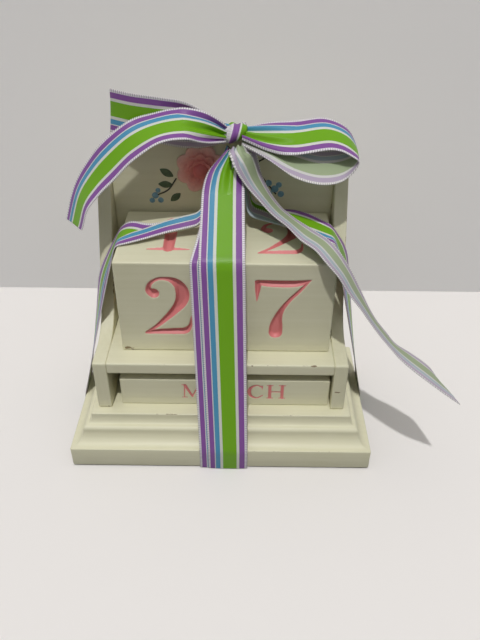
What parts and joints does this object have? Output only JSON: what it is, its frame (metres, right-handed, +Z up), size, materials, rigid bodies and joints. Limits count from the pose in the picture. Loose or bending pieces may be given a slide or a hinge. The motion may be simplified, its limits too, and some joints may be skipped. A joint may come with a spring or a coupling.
{
  "type": "block calendar",
  "caption": "Painted wooden desk calendar stand with date cubes on a tray, month bars in a slot below and a carved blossom, tied round with a striped ribbon and a bow.",
  "frame": {"origin": "on the surface it stands on, under the middle of the base", "axes": "+X to the right seen from the front, +Y from the front to the back board, +Z up"},
  "size_m": [0.2102, 0.1053, 0.1904],
  "materials": {
    "painted_wood": "eggshell cream paint",
    "blossom_paint": "matt pink paint",
    "steel_fasteners": "plain",
    "satin_ribbon": "woven satin stripes"
  },
  "bodies": {
    "stand": {"base_plinth": "painted_wood", "side_panel_left": "painted_wood", "side_panel_right": "painted_wood", "shelf_board": "painted_wood", "back_board": "painted_wood", "blossom_applique": "blossom_paint", "screw_left_front": "steel_fasteners", "screw_left_rear": "steel_fasteners", "screw_right_front": "steel_fasteners", "screw_right_rear": "steel_fasteners", "screw_back_left": "steel_fasteners", "screw_back_right": "steel_fasteners", "brad_shelf_front_left": "steel_fasteners", "brad_shelf_rear_left": "steel_fasteners", "brad_back_low_left": "steel_fasteners", "brad_back_high_left": "steel_fasteners", "brad_shelf_front_right": "steel_fasteners", "brad_shelf_rear_right": "steel_fasteners", "brad_back_low_right": "steel_fasteners", "brad_back_high_right": "steel_fasteners", "ribbon_under_length": "satin_ribbon", "ribbon_under_left": "satin_ribbon", "ribbon_under_right": "satin_ribbon"},
    "tied_ribbon": {"ribbon_front_outer": "satin_ribbon", "ribbon_front_inner": "satin_ribbon", "ribbon_cross_left": "satin_ribbon", "ribbon_cross_right": "satin_ribbon", "ribbon_knot": "satin_ribbon", "ribbon_loop_left": "satin_ribbon", "ribbon_loop_right": "satin_ribbon", "ribbon_tail_left": "satin_ribbon", "ribbon_tail_right": "satin_ribbon"},
    "back_ribbon": {"ribbon_back_band": "satin_ribbon"},
    "cube_left": {"date_cube_left": "painted_wood"},
    "cube_right": {"date_cube_right": "painted_wood"},
    "bar_front": {"month_bar_front": "painted_wood"},
    "bar_middle": {"month_bar_middle": "painted_wood"},
    "bar_rear": {"month_bar_rear": "painted_wood"}
  },
  "joints": [
    {"name": "ribbon_off", "type": "slide", "parent": "stand", "child": "tied_ribbon", "axis": [0, -1, 0], "range_m": [0, 0.16]},
    {"name": "ribbon_back_off", "type": "slide", "parent": "stand", "child": "back_ribbon", "axis": [0, 1, 0], "range_m": [0, 0.08]},
    {"name": "date_cube_left_out", "type": "slide", "parent": "stand", "child": "cube_left", "axis": [0, -1, 0], "range_m": [0, 0.064]},
    {"name": "date_cube_right_out", "type": "slide", "parent": "stand", "child": "cube_right", "axis": [0, -1, 0], "range_m": [0, 0.064]},
    {"name": "month_bar_front_out", "type": "slide", "parent": "stand", "child": "bar_front", "axis": [0, -1, 0], "range_m": [0, 0.072]},
    {"name": "month_bar_middle_out", "type": "slide", "parent": "stand", "child": "bar_middle", "axis": [0, -1, 0], "range_m": [0, 0.048]},
    {"name": "month_bar_rear_out", "type": "slide", "parent": "stand", "child": "bar_rear", "axis": [0, -1, 0], "range_m": [0, 0.024]}
  ],
  "couplings": [
    {"joint": "ribbon_back_off", "follows": "ribbon_off", "ratio": 0.5},
    {"joint": "date_cube_left_out", "follows": "ribbon_off", "ratio": 0.4},
    {"joint": "date_cube_right_out", "follows": "ribbon_off", "ratio": 0.4},
    {"joint": "month_bar_front_out", "follows": "ribbon_off", "ratio": 0.45},
    {"joint": "month_bar_middle_out", "follows": "ribbon_off", "ratio": 0.3},
    {"joint": "month_bar_rear_out", "follows": "ribbon_off", "ratio": 0.15}
  ]
}
